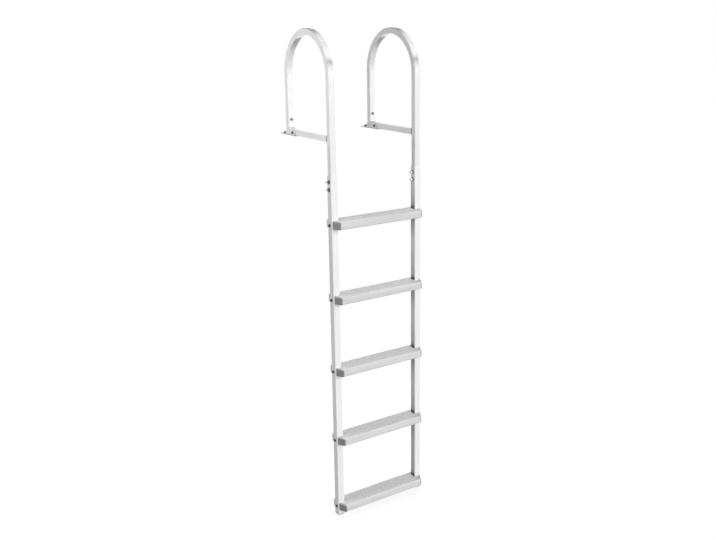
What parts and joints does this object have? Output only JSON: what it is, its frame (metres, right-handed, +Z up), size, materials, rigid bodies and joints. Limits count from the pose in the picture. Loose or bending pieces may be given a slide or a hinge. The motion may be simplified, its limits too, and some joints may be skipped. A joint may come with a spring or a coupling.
{
  "type": "dock ladder",
  "caption": "Dock ladder: two hoop handrails on deck brackets slide into square stiles that carry wide hollow steps with ribbed treads.",
  "frame": {"origin": "on the deck under the left foot bracket, below the centre of the hoop's short leg", "axes": "+X along the steps from the left side to the right, -Y towards the water, +Z up; z = 0 is the deck"},
  "size_m": [0.4457, 0.4435, 2.0001],
  "materials": {
    "aluminium": "satin anodised",
    "grey_plastic": "moulded satin",
    "tread_rubber": "ribbed matt",
    "stainless": "plain"
  },
  "bodies": {
    "root": {"hoop_left": "aluminium", "hoop_right": "aluminium", "crossbar_left": "aluminium", "crossbar_right": "aluminium", "stile_left": "aluminium", "stile_right": "aluminium", "foot_bracket_left": "aluminium", "foot_bracket_right": "aluminium", "stile_plug_left": "grey_plastic", "stile_plug_right": "grey_plastic", "foot_bolt_left": "stainless", "foot_bolt_right": "stainless", "leg_bolt_left": "stainless", "leg_bolt_right": "stainless", "splice_bolts_left": "stainless", "splice_bolts_right": "stainless", "step_bolts_left": "stainless", "step_bolts_right": "stainless", "step_washers_left": "stainless", "step_washers_right": "stainless", "step_1": "aluminium", "step_pad_1": "tread_rubber", "step_plugs_left_1": "grey_plastic", "step_plugs_right_1": "grey_plastic", "step_2": "aluminium", "step_pad_2": "tread_rubber", "step_plugs_left_2": "grey_plastic", "step_plugs_right_2": "grey_plastic", "step_3": "aluminium", "step_pad_3": "tread_rubber", "step_plugs_left_3": "grey_plastic", "step_plugs_right_3": "grey_plastic", "step_4": "aluminium", "step_pad_4": "tread_rubber", "step_plugs_left_4": "grey_plastic", "step_plugs_right_4": "grey_plastic", "step_5": "aluminium", "step_pad_5": "tread_rubber", "step_plugs_left_5": "grey_plastic", "step_plugs_right_5": "grey_plastic"}
  },
  "joints": []
}
